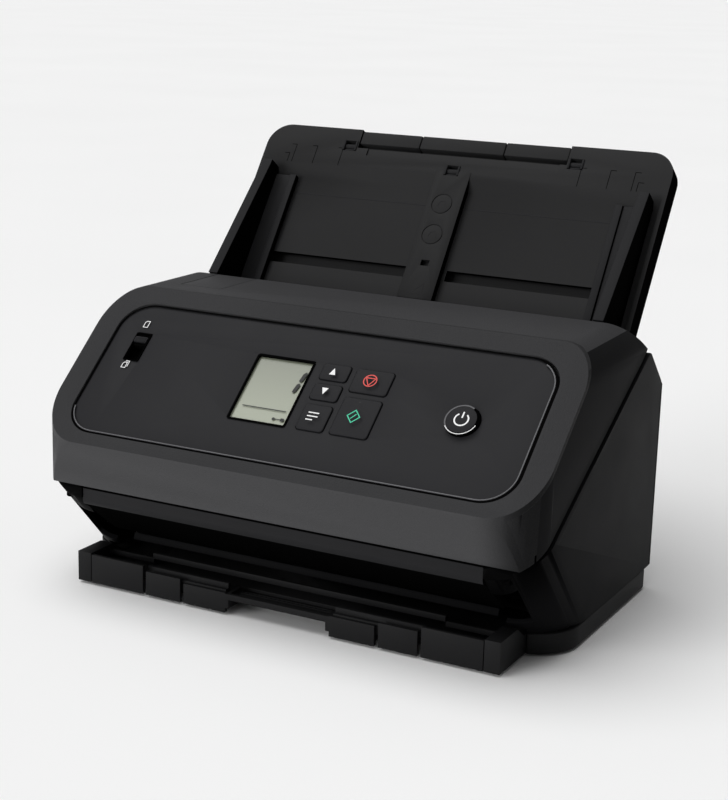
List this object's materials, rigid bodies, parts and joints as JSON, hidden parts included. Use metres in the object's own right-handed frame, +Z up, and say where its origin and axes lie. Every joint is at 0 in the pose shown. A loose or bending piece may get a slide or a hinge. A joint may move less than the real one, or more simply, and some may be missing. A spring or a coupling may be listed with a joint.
{
  "type": "sheet fed document scanner",
  "caption": "Desktop document scanner with a leaning feed tray, sliding paper guides, a sloped control panel on a front unit that hinges open, and a telescoping eject tray.",
  "frame": {"origin": "centre of the footprint box, on the surface that the feet rest on", "axes": "+X to the right as seen by a person facing the control panel, +Y to the back, +Z up"},
  "size_m": [0.28, 0.2262, 0.2267],
  "materials": {
    "side_black": "fine grain",
    "bezel_grey": "fine grain",
    "top_grey": "fine grain",
    "panel_black": "satin",
    "key_black": "satin",
    "lcd": "gloss",
    "board_green": "lacquered",
    "guide_black": "smooth",
    "sensor_glass": "gloss",
    "steel": "brushed",
    "socket_black": "smooth",
    "rubber_black": "matte",
    "pulley_white": "smooth",
    "brass": "turned",
    "tray_black": "fine grain",
    "eject_black": "fine grain"
  },
  "bodies": {
    "base": {"bottom_cover": "side_black", "rubber_feet": "rubber_black", "left_side_cover": "side_black", "right_side_cover": "side_black", "rear_cover": "side_black", "exit_guide": "side_black", "lower_paper_guide": "guide_black", "left_frame": "steel", "right_frame": "steel", "main_board": "board_green", "usb_port": "steel", "power_inlet": "socket_black", "lower_image_sensor": "sensor_glass", "drive_motor": "steel", "drive_belt": "rubber_black", "hinge_pins": "steel", "cover_screws": "steel", "feed_tray": "tray_black", "tray_back_cover": "tray_black", "tray_catches": "tray_black", "eject_tray_frame": "eject_black"},
    "motor_gear": {"motor_pulley": "brass"},
    "feed_drive": {"feed_shaft": "steel", "feed_tyres": "rubber_black", "feed_pulley": "pulley_white"},
    "registration_drive": {"registration_shaft": "steel", "registration_tyres": "rubber_black", "registration_pulley": "pulley_white"},
    "eject_drive": {"eject_shaft": "steel", "eject_tyres": "rubber_black", "eject_pulley": "pulley_white"},
    "extension": {"tray_extension": "tray_black"},
    "extension_tip": {"tray_extension_inner": "tray_black"},
    "guide_left": {"left_guide": "tray_black"},
    "guide_right": {"right_guide": "tray_black"},
    "guide_gear": {"guide_pinion": "pulley_white"},
    "stage_1": {"eject_stage_1": "eject_black"},
    "stage_2": {"eject_stage_2": "eject_black"},
    "stage_3": {"eject_stage_3": "eject_black"},
    "stopper": {"eject_stopper": "eject_black"},
    "front_unit": {"front_shell": "top_grey", "front_bezel": "bezel_grey", "front_rim": "bezel_grey", "upper_paper_guide": "guide_black", "control_panel": "panel_black", "lcd_module": "lcd", "panel_board": "board_green", "upper_image_sensor": "sensor_glass", "latch_bar": "steel"},
    "retard": {"retard_roller": "rubber_black"},
    "registration_press": {"registration_idlers": "pulley_white"},
    "eject_press": {"eject_idlers": "pulley_white"},
    "lever": {"open_lever": "top_grey"},
    "key_up": {"up_key": "key_black"},
    "key_down": {"down_key": "key_black"},
    "key_function": {"function_key": "key_black"},
    "key_stop": {"stop_key": "key_black"},
    "key_start": {"start_key": "key_black"},
    "key_power": {"power_button": "key_black"},
    "selector": {"feed_select_slider": "key_black"}
  },
  "joints": [
    {"name": "front_unit_open", "type": "hinge", "parent": "base", "child": "front_unit", "pos_m": [0, -0.101, 0.049], "axis": [1, 0, 0], "range_deg": [0, 55]},
    {"name": "lever_lift", "type": "hinge", "parent": "front_unit", "child": "lever", "pos_m": [0, -0.0166, 0.1466], "axis": [1, 0, 0], "range_deg": [0, 12], "stiffness_Nm_per_rad": 0.05, "springref_deg": -11.46},
    {"name": "press_up", "type": "slide", "parent": "front_unit", "child": "key_up", "axis": [0, 0.6557, -0.755], "range_m": [0, 0.001], "stiffness_N_per_m": 800, "springref_m": -0.0008},
    {"name": "press_down", "type": "slide", "parent": "front_unit", "child": "key_down", "axis": [0, 0.6557, -0.755], "range_m": [0, 0.001], "stiffness_N_per_m": 800, "springref_m": -0.0008},
    {"name": "press_function", "type": "slide", "parent": "front_unit", "child": "key_function", "axis": [0, 0.6557, -0.755], "range_m": [0, 0.001], "stiffness_N_per_m": 800, "springref_m": -0.0008},
    {"name": "press_stop", "type": "slide", "parent": "front_unit", "child": "key_stop", "axis": [0, 0.6557, -0.755], "range_m": [0, 0.001], "stiffness_N_per_m": 800, "springref_m": -0.0008},
    {"name": "press_start", "type": "slide", "parent": "front_unit", "child": "key_start", "axis": [0, 0.6557, -0.755], "range_m": [0, 0.001], "stiffness_N_per_m": 800, "springref_m": -0.0008},
    {"name": "press_power", "type": "slide", "parent": "front_unit", "child": "key_power", "axis": [0, 0.6557, -0.755], "range_m": [0, 0.001], "stiffness_N_per_m": 800, "springref_m": -0.0008},
    {"name": "selector_slide", "type": "slide", "parent": "front_unit", "child": "selector", "axis": [0, 0.755, 0.6557], "range_m": [-0.008, 0]},
    {"name": "retard_spin", "type": "hinge", "parent": "front_unit", "child": "retard", "pos_m": [0, 0.01518, 0.11526], "axis": [1, 0, 0], "continuous": true},
    {"name": "registration_press_spin", "type": "hinge", "parent": "front_unit", "child": "registration_press", "pos_m": [0, -0.00967, 0.09205], "axis": [1, 0, 0], "continuous": true},
    {"name": "eject_press_spin", "type": "hinge", "parent": "front_unit", "child": "eject_press", "pos_m": [0, -0.06084, 0.04428], "axis": [1, 0, 0], "continuous": true},
    {"name": "feed_spin", "type": "hinge", "parent": "base", "child": "feed_drive", "pos_m": [0, 0.02705, 0.10254], "axis": [1, 0, 0], "continuous": true},
    {"name": "registration_spin", "type": "hinge", "parent": "base", "child": "registration_drive", "pos_m": [0, 0.0022, 0.07934], "axis": [1, 0, 0], "continuous": true},
    {"name": "eject_spin", "type": "hinge", "parent": "base", "child": "eject_drive", "pos_m": [0, -0.04896, 0.03156], "axis": [1, 0, 0], "continuous": true},
    {"name": "motor_spin", "type": "hinge", "parent": "base", "child": "motor_gear", "pos_m": [0, 0.022, 0.045], "axis": [1, 0, 0], "continuous": true},
    {"name": "guide_left_slide", "type": "slide", "parent": "base", "child": "guide_left", "axis": [1, 0, 0], "range_m": [0, 0.08]},
    {"name": "guide_right_slide", "type": "slide", "parent": "base", "child": "guide_right", "axis": [-1, 0, 0], "range_m": [0, 0.08]},
    {"name": "guide_gear_spin", "type": "hinge", "parent": "base", "child": "guide_gear", "pos_m": [0, 0.06068, 0.15317], "axis": [0, -0.8161, 0.5779], "range_deg": [0, 765]},
    {"name": "extension_slide", "type": "slide", "parent": "base", "child": "extension", "axis": [0, 0.5779, 0.8161], "range_m": [0, 0.055]},
    {"name": "extension_tip_slide", "type": "slide", "parent": "extension", "child": "extension_tip", "axis": [0, 0.5779, 0.8161], "range_m": [0, 0.05]},
    {"name": "stage_1_slide", "type": "slide", "parent": "base", "child": "stage_1", "axis": [0, -1, 0], "range_m": [0, 0.08]},
    {"name": "stage_2_slide", "type": "slide", "parent": "stage_1", "child": "stage_2", "axis": [0, -1, 0], "range_m": [0, 0.08]},
    {"name": "stage_3_slide", "type": "slide", "parent": "stage_2", "child": "stage_3", "axis": [0, -1, 0], "range_m": [0, 0.08]},
    {"name": "stopper_flip", "type": "hinge", "parent": "stage_3", "child": "stopper", "pos_m": [0, -0.0889, 0.0084], "axis": [-1, 0, 0], "range_deg": [0, 100]}
  ],
  "couplings": [
    {"joint": "registration_spin", "follows": "feed_spin", "ratio": 1},
    {"joint": "eject_spin", "follows": "feed_spin", "ratio": 1},
    {"joint": "motor_spin", "follows": "feed_spin", "ratio": 1.6},
    {"joint": "guide_right_slide", "follows": "guide_left_slide", "ratio": 1},
    {"joint": "guide_gear_spin", "follows": "guide_left_slide", "rad_per_m": 166.67}
  ]
}
